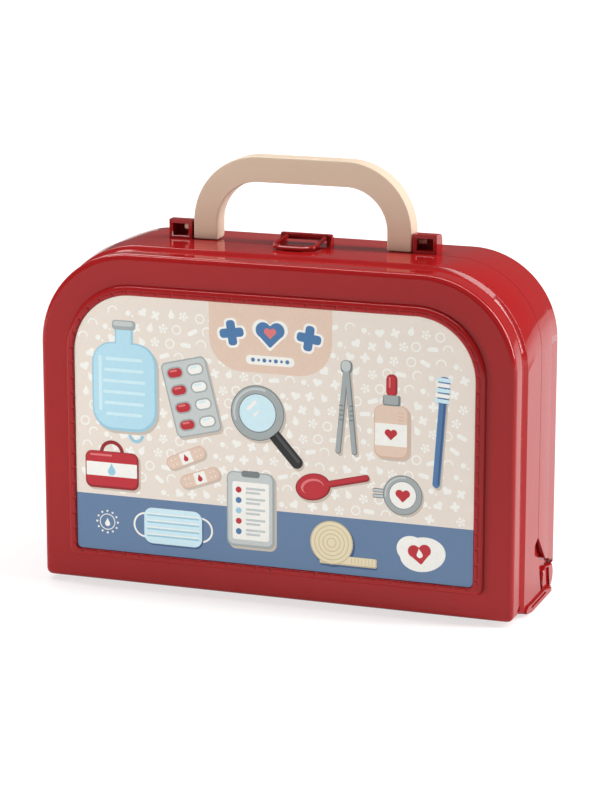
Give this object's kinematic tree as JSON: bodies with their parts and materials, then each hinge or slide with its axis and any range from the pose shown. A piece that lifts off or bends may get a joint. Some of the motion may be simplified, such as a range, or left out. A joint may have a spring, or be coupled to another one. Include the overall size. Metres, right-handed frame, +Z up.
{
  "type": "toy doctor case",
  "caption": "Red moulded toy doctor case with rounded top corners: front half with a framed picture card, hinged back half, folding beige handle and hoop latch.",
  "frame": {"origin": "middle of the case's box, on the surface the case stands on", "axes": "+X to the right when the card is looked at, +Y from the card to the back, +Z up"},
  "size_m": [0.3394, 0.1064, 0.2918],
  "materials": {
    "red_plastic": "glossy moulded plastic",
    "beige_plastic": "satin moulded plastic",
    "printed_card": "printed card, matt to satin"
  },
  "bodies": {
    "front_half": {"front_shell": "red_plastic", "picture_card": "printed_card"},
    "back_half": {"back_shell": "red_plastic"},
    "handle": {"handle": "beige_plastic"},
    "latch": {"latch": "red_plastic"}
  },
  "joints": [
    {"name": "lid_hinge", "type": "hinge", "parent": "front_half", "child": "back_half", "pos_m": [0, 0.04325, 0.01], "axis": [-1, 0, 0], "range_deg": [0, 90]},
    {"name": "handle_hinge", "type": "hinge", "parent": "back_half", "child": "handle", "pos_m": [0, 0.01575, 0.24055], "axis": [-1, 0, 0], "range_deg": [0, 90]},
    {"name": "latch_hinge", "type": "hinge", "parent": "back_half", "child": "latch", "pos_m": [0, 0.02025, 0.2376], "axis": [-1, 0, 0], "range_deg": [0, 110]}
  ]
}
